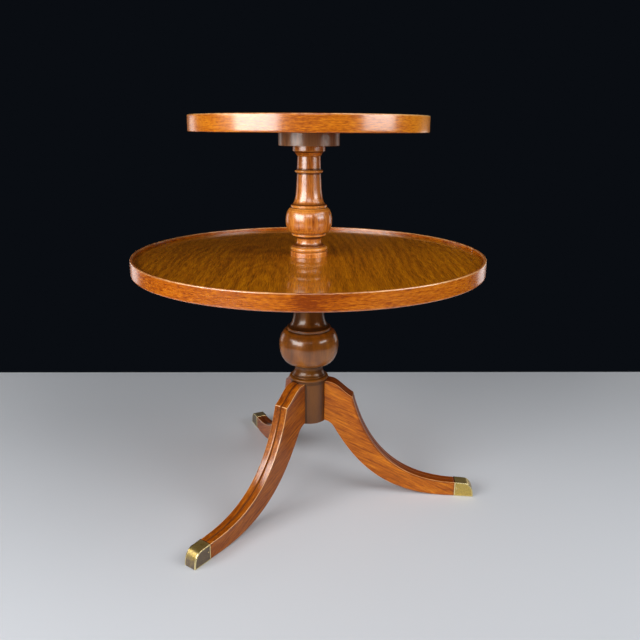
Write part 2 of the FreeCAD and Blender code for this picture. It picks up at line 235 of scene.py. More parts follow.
# %% [markdown]
# ## The turned columns
# A turner cuts a column as a row of named shapes: beads, coves, fillets, a bulb and a long flare.
# A Screw modifier could turn a drawn curve, but its points would be bare numbers. So the outline
# is written the way a turner works, each cut with the diameter that it ends on and its rise in
# millimetres, and is then turned round the axis.

# %% Cut an outline for turning
CUT_POINTS = 14
FLARE_POINTS = 40
FLARE_FOOT = (0.10, 0.07)
FLARE_NECK = (0.12, 0.50)
BELL_BEND = 0.40


def quarter(start, end, level_first):
    """A quarter ellipse from start to end that leaves level and arrives upright, or the reverse."""
    turn = np.linspace(0.0, np.pi / 2, CUT_POINTS)
    across, up = (np.sin(turn), 1 - np.cos(turn)) if level_first else (1 - np.cos(turn), np.sin(turn))
    return np.stack([start[0] + across * (end[0] - start[0]), start[1] + up * (end[1] - start[1])], 1)


def cut(kind, start, end):
    """The points of one cut, from (radius, height) to (radius, height): a quarter ellipse, a cubic
    for the flare, a parabola for the bell, and a straight line for anything else."""
    if kind == "out":
        return quarter(start, end, True)
    if kind == "in":
        return quarter(start, end, False)
    if kind == "flare":
        spread, rise = start[0] - end[0], end[1] - start[1]
        foot = (end[0] + FLARE_FOOT[0] * spread, start[1] + FLARE_FOOT[1] * rise)
        neck = (end[0] + FLARE_NECK[0] * spread, start[1] + FLARE_NECK[1] * rise)
        return bezier([start, foot, neck, end], FLARE_POINTS)
    if kind == "bell":
        start, end = np.array(start), np.array(end)
        bend = np.array([end[0], start[1] + BELL_BEND * (end[1] - start[1])])
        return bezier([start, (start + 2 * bend) / 3, (end + 2 * bend) / 3, end], CUT_POINTS)
    return np.array([start, end])


def turning(foot_diameter, foot_height, cuts):
    """The outline from the axis at the foot to the axis at the top, in metres."""
    here = (foot_diameter / 2 * MM, foot_height)
    lines = [np.array([(0.0, foot_height), here])]
    for kind, diameter, rise in cuts:
        there = (diameter / 2 * MM, here[1] + rise * MM)
        lines.append(cut(kind, here, there))
        here = there
    lines.append(np.array([here, (0.0, here[1])]))
    return np.concatenate(lines)


print("a bead:", np.round(cut("out", (0.0, 0.0), (1.0, 1.0))[::5], 2).tolist())

# %% [markdown]
# ## Where shade is painted on the columns, and where their edges are pale
# Shade is painted into the colour of the columns: in their hollows, beside the legs, where the
# joints are also dark, under the base ring, over the hub, and on the foot and the neck of the lower
# column, below the lower tray. Their edges are painted pale, partly as wear and partly as a painted
# highlight. An Ambient Occlusion node could guess at the hollows. So two marks are worked out for
# every point: recess for the painted shade, which is also dull, and edge for the pale edges.

# %% Work out the marks
RECESS_WINDOW, RECESS_DEPTH = 2.6 * MM, 0.55 * MM
EDGE_WINDOW, EDGE_DEPTH = 1.6 * MM, 0.28 * MM
# The legs' turns are in degrees, and their sizes in millimetres.
LEG_TURNS = {"front": -90.0, "right": 30.0, "left": 150.0}
LEG_TOP, LEG_WIDTH = 223.5, 28.6
# Painted shade: beside the legs' cheeks, where the joints are also dark, under the base ring, and over the
# hub.
JOINT_SPREAD, RING_SHADE, HUB_SHADE = 5.0 * MM, 6.0 * MM, 0.62
BULB_FOOT, BULB_TOP = 256.0 * MM, 324.8 * MM
# Painted shade on the foot and the neck of the lower column.
FOOT_SHADE, NECK_SHADE = 0.68, 0.44


def stands_out(outline, window):
    """How far each point of the outline stands outside the mean of its neighbours."""
    radius, height = outline.T
    near = np.abs(height[:, None] - height) <= window
    return radius - (near * radius).sum(1) / near.sum(1)


def painted_hub_shade(radius, height, angle):
    """Painted shade below the legs' top: exp(-(d / JOINT_SPREAD)^2) with d the distance from a leg's
    cheek, the same fall under the base ring by RING_SHADE, and at least HUB_SHADE everywhere."""
    dark = np.maximum(HUB_SHADE, np.exp(-(((height - LEG_TOP * MM) / RING_SHADE) ** 2)))
    for turn in LEG_TURNS.values():
        from_leg = angle - math.radians(turn)
        away = np.abs(radius * np.sin(from_leg)) - LEG_WIDTH / 2 * MM
        dark = np.maximum(dark, (np.cos(from_leg) > 0) * np.exp(-((away / JOINT_SPREAD) ** 2)))
    return dark * (height < LEG_TOP * MM)


def painted_column_shade(height):
    """Painted shade below and above the bulb of the lower column, up to the lower tray."""
    dull = FOOT_SHADE * (height < BULB_FOOT) + NECK_SHADE * (height > BULB_TOP)
    return dull * (height > LEG_TOP * MM) * (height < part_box("lower_tray_panel")[0].z)


def turned_marks(outline, angle):
    """The painted shade and the edge, both from 0 to 1: how far a point lies inside or outside its
    neighbours, and for the painted shade also the shade of the hub and of the lower column. The edge
    is painted pale, partly as wear and partly as a painted highlight."""
    radius, height = outline[:, :1], outline[:, 1:]
    # Painted shade in the recess mark, and pale edges that are partly wear and partly a painted highlight.
    hollow = np.clip(-stands_out(outline, RECESS_WINDOW) / RECESS_DEPTH, 0, 1)[:, None]
    recess = np.maximum(hollow, np.maximum(painted_hub_shade(radius, height, angle), painted_column_shade(height)))
    edge = np.clip(stands_out(outline, EDGE_WINDOW) / EDGE_DEPTH, 0, 1)[:, None]
    return recess, edge + 0 * angle


print("legs stand at", LEG_TURNS)

# %% Turn the columns
COLUMN_EDGE, COLUMN_EDGE_STEPS = 0.45 * MM, 5
COLUMN_FACE = 1.6 * MM
COLUMN_SIDES = 216


def turned_piece(name, node, outline):
    """Outline point (radius, height) at angle a: (radius cos a, radius sin a, height)."""
    outline = densify(soften(outline, COLUMN_EDGE, COLUMN_EDGE_STEPS), COLUMN_FACE)
    angle = np.linspace(0.0, 2 * np.pi, COLUMN_SIDES + 1)
    radius, height = outline[:, :1], outline[:, 1:]
    grid = np.stack([radius * np.cos(angle), radius * np.sin(angle), height + 0 * angle], -1)
    # The recess mark carries painted shade, and the edge mark carries wear and a painted highlight.
    recess, edge = turned_marks(outline, angle)
    piece = weave(name, [grid], {"recess": [recess], "edge": [edge]})
    return stand_in(piece, node)


UPPER_FOOT = 65.0
UPPER_CUTS = (
    ("straight", 65.0, 7.0), ("straight", 60.6, 2.5), ("out", 64.6, 3.5), ("in", 54.0, 3.5),
    ("straight", 54.0, 1.5), ("out", 42.4, 9.0), ("in", 60.4, 9.0), ("straight", 60.4, 3.2),
    ("step", 59.4, 0.0), ("straight", 59.4, 1.0), ("out", 80.8, 21.3), ("in", 60.5, 21.9),
    ("straight", 60.5, 0.9), ("step", 62.0, 0.0), ("straight", 62.0, 3.2), ("flare", 41.0, 54.5),
    ("out", 48.6, 2.5), ("in", 41.0, 2.5), ("straight", 39.2, 22.2), ("straight", 51.2, 8.5),
    ("step", 55.0, 0.0), ("straight", 55.0, 8.8), ("step", 30.0, 0.0), ("straight", 30.0, 24.3),
)
upper_outline = turning(UPPER_FOOT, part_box("upper_column")[0].z, UPPER_CUTS)
upper_column = turned_piece("upper_turning", "upper_column", upper_outline)

LOWER_FOOT = 67.0
LOWER_CUTS = (
    ("straight", 67.0, 81.0), ("out", 72.0, 2.7), ("in", 61.0, 2.7), ("straight", 61.0, 0.8),
    ("step", 62.5, 0.0), ("straight", 62.5, 1.0), ("bell", 50.4, 15.3), ("straight", 50.4, 3.0),
    ("out", 54.0, 2.25), ("in", 50.4, 2.25), ("step", 66.0, 0.0), ("out", 108.6, 35.0),
    ("in", 78.0, 28.8), ("straight", 78.0, 1.0), ("step", 79.5, 0.0), ("straight", 79.5, 4.0),
    ("flare", 50.0, 60.2), ("out", 57.0, 3.0), ("in", 50.0, 3.0), ("straight", 50.0, 9.5),
    ("in", 58.0, 4.5), ("step", 66.0, 0.0), ("straight", 66.0, 7.7), ("step", 38.0, 0.0),
    ("straight", 38.0, 25.0),
)
lower_outline = turning(LOWER_FOOT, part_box("lower_column")[0].z, LOWER_CUTS)
lower_column = turned_piece("lower_turning", "lower_column", lower_outline)

# %% [markdown]
# ## The sabre legs
# A leg is sawn from a board by a side pattern and then shaped across its width: a V-groove down
# its back, and edges that are eased by hand. A box with modifiers would lose the sharp knee. So
# the back and the underside are drawn as curves, each station along the leg pairs a point of one
# with a point of the other, and a section goes round every pair. The board's grain is straight,
# and it runs from the hub to the toe, so it crosses the curves instead of following them. Legs,
# caps and pins are drawn in millimetres, and become metres when they are set round the hub.

# %% Draw the leg's back and underside
HUB_RADIUS = 33.5
CAP_BACK, TOE_TOP, TOE_BOTTOM, TOE_FLAT = 279.0, 28.0, 0.6, 17.0
LEG_HEEL = 146.0
KNEE, HAUNCH = (83.0, 194.5), (50.0, 131.0)
KNEE_EDGE, KNEE_STEPS = 1.2, 8
LONG_POINTS, SHORT_POINTS = 90, 30
OGEE_PULLS, FRONT_PULLS = ((21.5, 0.0), (24.0, 151.3)), ((94.7, -75.6), (119.5, 180.0))
CURL_PULLS, UNDER_PULLS = ((8.0, -10.0), (8.0, 120.5)), ((76.3, -59.5), (121.8, 180.0))


def pulled(start, end, pulls, count):
    """A cubic curve from start to end. Each inner pole lies this far from its own end of the
    curve, in this direction in degrees."""
    poles = [start]
    for point, (length, degrees) in zip((start, end), pulls):
        turn = math.radians(degrees)
        poles.append((point[0] + length * math.cos(turn), point[1] + length * math.sin(turn)))
    return bezier([*poles, end], count)


def shares(line, low, high):
    """The share of the way along a line at each of its points, spread from low to high."""
    far = walked(line)
    return low + (high - low) * far / far[-1]


ogee = pulled((HUB_RADIUS, LEG_TOP), KNEE, OGEE_PULLS, SHORT_POINTS)
front = pulled(KNEE, (CAP_BACK, TOE_TOP), FRONT_PULLS, LONG_POINTS)
curl = pulled((HUB_RADIUS, LEG_HEEL), HAUNCH, CURL_PULLS, SHORT_POINTS)
under = pulled(HAUNCH, (CAP_BACK - TOE_FLAT, TOE_BOTTOM), UNDER_PULLS, LONG_POINTS)
under = np.concatenate([under, [(CAP_BACK, TOE_BOTTOM)]])
back_line = soften(np.concatenate([ogee, front[1:]]), KNEE_EDGE, KNEE_STEPS)
knee_index = int(np.argmin(np.hypot(*(back_line - KNEE).T)))
to_knee, from_knee = back_line[:knee_index + 1], back_line[knee_index:]
back_share = np.concatenate([shares(to_knee, 0, 1), shares(from_knee, 1, 2)[1:]])
under_line = np.concatenate([curl, under[1:]])
under_share = np.concatenate([shares(curl, 0, 1), shares(under, 1, 2)[1:]])
under_line = np.stack([np.interp(back_share, under_share, side) for side in under_line.T], 1)
deepest = np.hypot(*(back_line - under_line).T).max()
print("leg stations:", len(back_line), "deepest section", round(deepest, 1), "mm")

# %% Draw the section of a leg
ARRIS, LOWER_ARRIS = 0.9, 0.7
GROOVE_HALF, GROOVE_DEPTH = 2.0, 2.0
GROOVE_LIP, GROOVE_EASE, LIP_DROP = 0.35, 0.25, 0.05
ARRIS_POINTS, FLAT_POINTS, SIDE_POINTS = 6, 5, 12


def section_columns():
    """One half of the section, from the groove to the middle of the underside. Each column is a
    share of the half width, an offset across, a share of the depth and an offset down. Beside it
    stands its mark: below 0 for grime and painted shade in the groove, and up to 1 for a pale edge,
    which is partly wear and partly a painted highlight."""
    turn = np.linspace(0.0, np.pi / 2, ARRIS_POINTS)
    whole = np.ones(ARRIS_POINTS)
    groove = np.array([
        (0, 0, 0, GROOVE_DEPTH),
        (0, GROOVE_LIP, 0, GROOVE_DEPTH - GROOVE_EASE),
        (0, GROOVE_HALF - GROOVE_LIP, 0, GROOVE_EASE),
        (0, GROOVE_HALF, 0, LIP_DROP),
    ])
    back = np.linspace((0, GROOVE_HALF + GROOVE_LIP, 0, 0), (1, -ARRIS, 0, 0), FLAT_POINTS)
    upper = np.stack([whole, ARRIS * (np.sin(turn) - 1), 0 * whole, ARRIS * (1 - np.cos(turn))], 1)
    side = np.linspace((1, 0, 0, ARRIS), (1, 0, 1, -LOWER_ARRIS), SIDE_POINTS)
    lower = np.stack([whole, LOWER_ARRIS * (np.cos(turn) - 1), whole, LOWER_ARRIS * (np.sin(turn) - 1)], 1)
    bottom = np.linspace((1, -LOWER_ARRIS, 1, 0), (0, 0, 1, 0), FLAT_POINTS)
    # Below 0: grime and painted shade in the groove. Above 0: wear and a painted highlight on the edges.
    parts = (
        (groove, (-1, -1, -0.5, 0.4)),
        (back, (0, 0, 0, 0, 0.3)),
        (upper[1:], (1, 1, 1, 1, 0.4)),
        (side[1:], np.zeros(SIDE_POINTS - 1)),
        (lower[1:], np.full(ARRIS_POINTS - 1, 0.6)),
        (bottom[1:], np.zeros(FLAT_POINTS - 1)),
    )
    return [np.concatenate(values) for values in zip(*parts)]


# Wear and a painted highlight on the edges, grime and painted shade in the groove.
half_columns, half_wear_dirt_and_painted_light = section_columns()
mirrored = half_columns[-2:0:-1] * np.array([-1, -1, 1, 1])
COLUMNS = np.concatenate([half_columns, mirrored, half_columns[:1]])
WEAR_DIRT_AND_PAINTED_LIGHT = np.concatenate([half_wear_dirt_and_painted_light, half_wear_dirt_and_painted_light[-2:0:-1], half_wear_dirt_and_painted_light[:1]])
print("section:", len(COLUMNS), "points round")

# %% Carry the section along the leg
TOE_WIDTH = 22.2
COPE_FADE = 12.0
TOE_TUCK = 1.0
TONGUE_DEPTH, TONGUE_NECK, TONGUE_TAIL, TONGUE_STOP = 13.0, 12.0, 17.0, 8.0
TONGUE_PROUD = 0.15


def half_width(radius):
    """Half of the leg's width, which tapers evenly from the hub to the toe cap."""
    share = (radius - HUB_RADIUS) / (CAP_BACK - HUB_RADIUS)
    return (LEG_WIDTH + share * (TOE_WIDTH - LEG_WIDTH)) / 2


def leg_surface():
    """Station point T on the back and B on the underside: a column that lies h down is at
    T + h (B - T) / |B - T|, and across it keeps its share of the half width there. The hub end is
    coped: it draws back to the cylinder, by HUB_RADIUS less sqrt(HUB_RADIUS^2 - across^2)."""
    run = under_line - back_line
    depth = np.hypot(*run.T)[:, None]
    down = COLUMNS[:, 2] * depth + COLUMNS[:, 3]
    radius = back_line[:, :1] + down * run[:, :1] / depth
    height = back_line[:, 1:] + down * run[:, 1:] / depth
    across = COLUMNS[:, 0] * half_width(radius) + COLUMNS[:, 1]
    fade = np.clip(1 - (radius - HUB_RADIUS) / COPE_FADE, 0, 1)
    radius = radius - fade * (HUB_RADIUS - np.sqrt(HUB_RADIUS ** 2 - across ** 2))
    radius[-1] += TOE_TUCK
    rows = np.stack([radius, across, height], -1)
    poles = [np.broadcast_to(row.mean(0), row.shape)[None] for row in (rows[0], rows[-1])]
    return np.concatenate([poles[0], rows, poles[1]])


def tongue_surface():
    """The dovetail's four corners, widening towards the axis, carried up the hub and closed."""
    inner, outer = HUB_RADIUS - TONGUE_DEPTH, HUB_RADIUS + TOE_TUCK
    tail, neck = TONGUE_TAIL / 2, TONGUE_NECK / 2
    plan = np.array([(inner, -tail), (outer, -neck), (outer, neck), (inner, tail), (inner, -tail)])
    low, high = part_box("lower_column")[0].z / MM - TONGUE_PROUD, LEG_TOP - TONGUE_STOP
    middle = np.tile(plan[:-1].mean(0), (len(plan), 1))
    rings = [(middle, low), (plan, low), (plan, high), (middle, high)]
    return np.stack([np.column_stack([ring, np.full(len(plan), height)]) for ring, height in rings])


leg_grid, tongue_grid = leg_surface(), tongue_surface()
print("leg grid:", leg_grid.shape[:2], "tongue grid:", tongue_grid.shape[:2])

# %% Set the three legs round the hub
GRAIN_LEAN = math.radians(-24)
BACK_GLOSS, SIDE_GLOSS = {"front": 0.9, "right": 0.15, "left": 0.9}, 0.15


def round_axis(points, degrees):
    """Points turned about the table's axis."""
    turn = math.radians(degrees)
    x = points[..., 0] * math.cos(turn) - points[..., 1] * math.sin(turn)
    y = points[..., 0] * math.sin(turn) + points[..., 1] * math.cos(turn)
    return np.stack([x, y, points[..., 2]], -1)


def board_place(points, board):
    """Where a point lies in the board that its leg was sawn from: along, across and through. The
    boards lie a metre apart, so that no two legs show the same grain."""
    lean_cos, lean_sin = math.cos(GRAIN_LEAN), math.sin(GRAIN_LEAN)
    along = points[..., 0] * lean_cos + points[..., 2] * lean_sin
    through = points[..., 2] * lean_cos - points[..., 0] * lean_sin
    return np.stack([along, points[..., 1], through], -1) * MM + np.array([board, 0.0, 0.0])


on_back = np.broadcast_to(COLUMNS[:, 2] == 0, leg_grid.shape[:2])
polished_back = on_back & (WEAR_DIRT_AND_PAINTED_LIGHT >= 0)
# A pale line across the knee: partly wear, partly a painted highlight.
knee_wear_and_highlight = np.exp(-((np.hypot(*(back_line - KNEE).T) / KNEE_EDGE) ** 2))
knee_wear_and_highlight = np.pad(knee_wear_and_highlight, 1, "edge")[:, None]
leg_edge = np.where(polished_back, np.maximum(WEAR_DIRT_AND_PAINTED_LIGHT, knee_wear_and_highlight), WEAR_DIRT_AND_PAINTED_LIGHT)
hidden = np.zeros(tongue_grid.shape[:2])
leg_pieces = []
for board, (place, turn) in enumerate(LEG_TURNS.items()):
    leg_gloss = polished_back * BACK_GLOSS[place] + (1 - on_back) * SIDE_GLOSS
    marks = {
        "grain": [board_place(grid, float(board)) for grid in (leg_grid, tongue_grid)],
        "edge": [leg_edge, hidden],
        "gloss": [leg_gloss, hidden],
        "back": [on_back, hidden],
    }
    grids = [round_axis(grid, turn) * MM for grid in (leg_grid, tongue_grid)]
    leg_piece = weave(f"sabre_leg_{place}", grids, marks)
    leg_pieces.append(stand_in(leg_piece, f"leg_{place}"))

# %% [markdown]
# ## The brass toe caps
# A cap is a cast shoe: seen from the side it has a flat sole, a rounded nose and a nearly level
# top. A bevelled box has the same bevel everywhere, and the nose would need cutting. So the side
# outline is carried across the width, and it shrinks by a quarter circle at both sides, which
# leaves every edge round the shoe softly worn. The flat sides close to their middle. A film mark
# says how dull the top, the nose and the sides of each cap are: partly tarnish, and partly painted
# shade, set cap by cap with how the light falls on it. The edges are bright, partly wear and partly
# a painted highlight.

# %% Shape the toe caps
CAP_TIP, CAP_TOP, CAP_HALF = 315.0, 28.6, 11.7
NOSE_LENGTH, NOSE_LIP, NOSE_FALL = 17.0, 3.0, 0.8
CAP_EDGE, CAP_EDGE_POINTS, CAP_CORNER = 1.0, 7, 0.9
CAP_FACE = 0.8
# Bright edges round the shoe and along its back: partly wear, partly a painted highlight.
CAP_WEAR_AND_HIGHLIGHT, REAR_WEAR_AND_HIGHLIGHT = 1.5, 1.6
SIDE_RINGS = np.array([13.0, 7.0, 4.0, 2.2, 1.2, 0.5])
SKIN_ROWS = SIDE_RINGS[:0:-1]


def cap_outline():
    """The shoe's side outline as a closed line, from the middle of the sole and back to it."""
    sole_middle = np.array([((CAP_BACK + CAP_TIP) / 2, 0.0)])
    crown = (CAP_TIP - NOSE_LENGTH, CAP_TOP - NOSE_FALL)
    nose = quarter((CAP_TIP, NOSE_LIP), crown, False)
    corners = [[(CAP_TIP, 0.0)], nose, [(CAP_BACK, CAP_TOP)], [(CAP_BACK, 0.0)], sole_middle]
    return densify(soften(np.concatenate([sole_middle, *corners]), CAP_CORNER), CAP_FACE)


def cap_surface():
    """Outline point P with inward normal N: P + N s across the width, where the sink s follows a
    quarter circle near each side. The sides then shrink towards the outline's middle. The bright
    edge, partly wear and partly a painted highlight, is exp(-(d / CAP_WEAR_AND_HIGHLIGHT)^2), with d the
    distance over the surface from the middle of the bend, and the same by REAR_WEAR_AND_HIGHLIGHT from the
    back edge."""
    line = cap_outline()
    ahead = np.roll(line[:-1], -1, 0) - np.roll(line[:-1], 1, 0)
    inward = np.stack([-ahead[:, 1], ahead[:, 0]], 1) / np.hypot(*ahead.T)[:, None]
    inward = np.concatenate([inward, inward[:1]])[:, None]
    bend = np.linspace(np.pi / 2, 0.0, CAP_EDGE_POINTS)
    half_bend = CAP_EDGE * np.pi / 4
    inset = np.concatenate([0 * SIDE_RINGS, CAP_EDGE * (1 - np.sin(bend)), CAP_EDGE + SKIN_ROWS])
    sink = np.concatenate([0 * SIDE_RINGS + CAP_EDGE, CAP_EDGE * (1 - np.cos(bend)), 0 * SKIN_ROWS])
    shrink = np.concatenate([SIDE_RINGS / SIDE_RINGS[0], 0 * bend, 0 * SKIN_ROWS])
    round_bend = CAP_EDGE * np.abs(bend - np.pi / 4)
    away = np.concatenate([SIDE_RINGS + half_bend, round_bend, SKIN_ROWS + half_bend])
    across = np.concatenate([inset - CAP_HALF, CAP_HALF - inset[::-1]])
    sink, shrink, away = [np.concatenate([half, half[::-1]]) for half in (sink, shrink, away)]
    skin = line[:, None] + inward * sink[None, :, None]
    skin = skin + shrink[None, :, None] * (line[:-1].mean(0) - skin)
    # Bright edges: partly wear, partly a painted highlight.
    wear_and_highlight = np.exp(-((away / CAP_WEAR_AND_HIGHLIGHT) ** 2)) + np.exp(-(((skin[..., 0] - CAP_BACK) / REAR_WEAR_AND_HIGHLIGHT) ** 2))
    across = np.broadcast_to(across, skin.shape[:2])
    on_side = np.broadcast_to(shrink > 0, skin.shape[:2])
    return np.stack([skin[..., 0], across, skin[..., 1]], -1), np.clip(wear_and_highlight, 0, 1), on_side


cap_grid, cap_wear_and_highlight, cap_side = cap_surface()
print("cap grid:", cap_grid.shape[:2])

# %% Set the caps on the toes
# Film on the top, the sides and the nose of each cap: partly tarnish, partly painted shade, set cap by cap
# with how the light falls on it.
TOP_FILM_AND_SHADE = {"front": 0.45, "right": 0.6, "left": 0.95}
SIDE_FILM_AND_SHADE = {"front": 1.3, "right": 0.12, "left": 1.2}
NOSE_FILM_AND_SHADE, NOSE_FILM_AND_SHADE_FROM, NOSE_FILM_AND_SHADE_FADE = 0.7, 19.0, 8.0

cap_low = np.clip((NOSE_FILM_AND_SHADE_FROM - cap_grid[..., 2]) / NOSE_FILM_AND_SHADE_FADE, 0, 1)
cap_pieces = []
for place, turn in LEG_TURNS.items():
    # Tarnish and painted shade.
    film = np.where(cap_side, SIDE_FILM_AND_SHADE[place], TOP_FILM_AND_SHADE[place] + NOSE_FILM_AND_SHADE * cap_low)
    marks = {"edge": [cap_wear_and_highlight], "film": [film]}
    cap_piece = weave(f"toe_shoe_{place}", [round_axis(cap_grid, turn) * MM], marks)
    cap_pieces.append(stand_in(cap_piece, f"toe_cap_{place}"))

# %% [markdown]
# ## The pins in the caps
# Two round-headed brass pins hold each cap. A head could be a scaled half sphere, but a dome of
# its own outline also carries the shank. It is turned about its own axis, which points out of the
# side of the cap.

# %% Set the pins
PIN_RADIUS, PIN_PROUD, PIN_LENGTH = 1.3, 0.45, 9.0
PIN_SETBACK, PIN_HEIGHT = 5.5, 16.0
PIN_SIDES, DOME_POINTS = 24, 7
PIN_MARK = 0.5


def pin_surface(side):
    """Angle a round the pin, and a place on its outline: the shank, then the dome
    r = R cos b, out = proud sin b."""
    swing = np.linspace(0.0, np.pi / 2, DOME_POINTS)
    outline = np.concatenate([
        [(0.0, -PIN_LENGTH), (PIN_RADIUS, -PIN_LENGTH)],
        np.stack([PIN_RADIUS * np.cos(swing), PIN_PROUD * np.sin(swing)], 1),
    ])
    angle = np.linspace(0.0, 2 * np.pi, PIN_SIDES + 1)
    radius, out = outline[:, :1], outline[:, 1:]
    return np.stack([
        CAP_BACK + PIN_SETBACK + radius * np.cos(angle),
        side * (CAP_HALF + out + 0 * angle),
        PIN_HEIGHT + radius * np.sin(angle),
    ], -1)


pin_grids = [round_axis(pin_surface(side), turn) * MM for turn in LEG_TURNS.values() for side in (-1, 1)]
pin_marks = {name: [np.full(grid.shape[:2], PIN_MARK) for grid in pin_grids] for name in ("edge", "film")}
pins = stand_in(weave("toe_pins", pin_grids, pin_marks), "toe_cap_pins")

# %% [markdown]
# ## Writing finishes as sums
# A finish is a tree of nodes, but wood is easier to think of as sums and products of patterns. The
# nodes could be added one by one, which takes three lines for each sum. So one small class wraps a
# socket: arithmetic on it adds Math nodes, and its `node` method adds any other node, with its
# settings first and its sockets after.

# %% The wire class


class Wire:
    """A socket of a node tree. Arithmetic on wires and numbers adds Math nodes."""

    def __init__(self, tree, socket=None):
        self.tree = tree
        self.socket = socket

    def node(self, kind, settings=None, sockets=None, out=0):
        """Adds a node and gives its output `out`. Sockets take numbers, colours or wires."""
        made = self.tree.nodes.new(kind)
        for name, value in (settings or {}).items():
            if name == "stops":
                self.set_stops(made.color_ramp, value)
            else:
                setattr(made, name, value)
        for name, value in (sockets or {}).items():
            if isinstance(value, Wire):
                self.tree.links.new(value.socket, made.inputs[name])
            else:
                made.inputs[name].default_value = value
        return Wire(self.tree, made.outputs[out])

    @staticmethod
    def set_stops(ramp, stops):
        """Gives a ramp its stops: pairs of a place and a colour."""
        while len(ramp.elements) < len(stops):
            ramp.elements.new(1.0)
        for element, (place, rgb) in zip(ramp.elements, stops):
            element.position = place
            element.color = (*rgb, 1.0)

    def feed(self, shader, socket):
        """Links this wire to a socket of a shader."""
        self.tree.links.new(self.socket, shader.inputs[socket])

    def math(self, operation, *others):
        """A Math node whose first value is this wire."""
        return self.node("ShaderNodeMath", {"operation": operation}, dict(enumerate((self, *others))))

    def __add__(self, other):
        return self.math("ADD", other)

    __radd__ = __add__

    def __sub__(self, other):
        return self.math("SUBTRACT", other)

    def __rsub__(self, other):
        return self.node("ShaderNodeMath", {"operation": "SUBTRACT"}, {0: other, 1: self})

    def __mul__(self, other):
        return self.math("MULTIPLY", other)

    __rmul__ = __mul__

    def smooth(self, low, high):
        """0 below low, 1 above high, with a soft step between."""
        return self.node("ShaderNodeMapRange", {"interpolation_type": "SMOOTHSTEP"},
                         {"Value": self, "From Min": low, "From Max": high})

    def ramp(self, stops):
        """The colour at this place between the stops."""
        return self.node("ShaderNodeValToRGB", {"stops": stops}, {"Fac": self})

    def tint(self, first, second):
        """Mixes from the first colour to the second by this wire. A Mix node has its two colours
        on sockets 6 and 7, and the mixed colour on output 2."""
        return self.node("ShaderNodeMix", {"data_type": "RGBA"}, {0: self, 6: first, 7: second}, out=2)

    def part(self, axis):
        """One axis of this vector."""
        return self.node("ShaderNodeSeparateXYZ", None, {0: self}, out=axis)

    def stretch(self, x, y, z, shift=0.0):
        """This vector, stretched along each axis and moved, so that patterns don't line up."""
        return self.node("ShaderNodeVectorMath", {"operation": "MULTIPLY_ADD"},
                         {0: self, 1: (x, y, z), 2: (shift, shift, shift)})

    def noise(self, detail=2.0, roughness=0.5, distortion=0.0):
        """Soft noise of about one blob per unit, from 0 to 1."""
        values = {"Scale": 1.0, "Detail": detail, "Roughness": roughness, "Distortion": distortion}
        return self.node("ShaderNodeTexNoise", None, {"Vector": self, **values})


print("wires can", [name for name in vars(Wire) if not name.startswith("_")])

# %% Helpers for every finish


def blank_material(name):
    """A new material, a wire to start its tree from, and its Principled shader."""
    material = bpy.data.materials.new(name)
    material.use_nodes = True
    return material, Wire(material.node_tree), material.node_tree.nodes["Principled BSDF"]


def colour(red, green, blue):
    """A colour with full opacity, for a socket."""
    return (red, green, blue, 1.0)


def shade(rgb, factor):
    """A colour made darker or paler by a factor, for a socket."""
    return colour(*[min(1.0, value * factor) for value in rgb])


def object_place(start):
    """Where a point lies on its piece: its Object coordinates."""
    return start.node("ShaderNodeTexCoord", out="Object")


def mark(start, name, out="Fac"):
    """A number that is stored on the points of the piece, or a vector if out is "Vector"."""
    return start.node("ShaderNodeAttribute", {"attribute_name": name}, out=out)


def dress(piece, material):
    """Gives a piece its one finish."""
    piece.data.materials.clear()
    piece.data.materials.append(material)


print("a paler red:", np.round(shade((0.5, 0.1, 0.1), 1.5), 2).tolist())

# %% [markdown]
# ## Mahogany
# Under polish, mahogany shows four things: broad ribbons of light and dark, long thin streaks,
# short flecks, and open pores like pencil dashes. A picture of wood could be laid on, but it would
# stretch on turned shapes. So each is noise, stretched along the grain and far finer across it.
# All woods of the table share this function and differ in colour, figure and shine. The place of
# a point, along, across and through the board, comes in as a vector.

# %% The grain shared by every wood
# Blobs per metre along and across the grain, an offset, then the noise's detail, roughness and twist.
BROAD = (7.0, 32.0, 0.0, 2.0, 0.5, 0.6)
THIN = (14.0, 220.0, 3.1, 3.0, 0.6, 0.0)
SHORT = (60.0, 430.0, 7.7, 2.0, 0.6, 0.0)
PORES = (120.0, 1500.0, 1.3, 1.0, 0.5, 0.0)
PORE_STEP = (0.60, 0.72)


def grain_layers(place, figure, shift):
    """The tone of the wood from 0, dark, to 1, light, and its open pores. The figure says how
    strongly ribbons, streaks and flecks move the tone away from the middle, 0.5."""
    def layer(along, across, offset, *noise):
        return place.stretch(along, across, across, shift + offset).noise(*noise)
    ribbon, streak, fleck = figure
    broad, thin, short = layer(*BROAD), layer(*THIN), layer(*SHORT)
    tone = 0.5 + (broad - 0.5) * ribbon + (thin - 0.5) * streak + (short - 0.5) * fleck
    return tone, layer(*PORES).smooth(*PORE_STEP)


print("grain layers ready")

# %% [markdown]
# ## Polish and lacquer
# Every wood here is polished, and most of the shine is a clear lacquer on top: white highlights
# over the warmer sheen of the wood. One rough gloss could do for both, but it would look like
# plastic. So the wood has its own gloss, a little rougher and sunk in the pores, and the shader's
# coat is the lacquer. Where the lacquer is worn or was never put on, a share takes it away.

# %% Polish and lacquer
STREAK_HEIGHT, PORE_DEPTH = 0.4, 0.15 * MM
PORE_ROUGH, STREAK_ROUGH = 0.12, 0.06
LACQUER_IOR = 1.9


def polish(shader, wood, tone, pores, roughness, bump):
    """The wood's own gloss: a little rougher in the pores and dark streaks, and sunk there."""
    height = tone * STREAK_HEIGHT - pores
    relief = {"Strength": bump, "Distance": PORE_DEPTH, "Height": height}
    wood.feed(shader, "Base Color")
    (roughness + pores * PORE_ROUGH + (1 - tone) * STREAK_ROUGH).feed(shader, "Roughness")
    height.node("ShaderNodeBump", None, relief).feed(shader, "Normal")


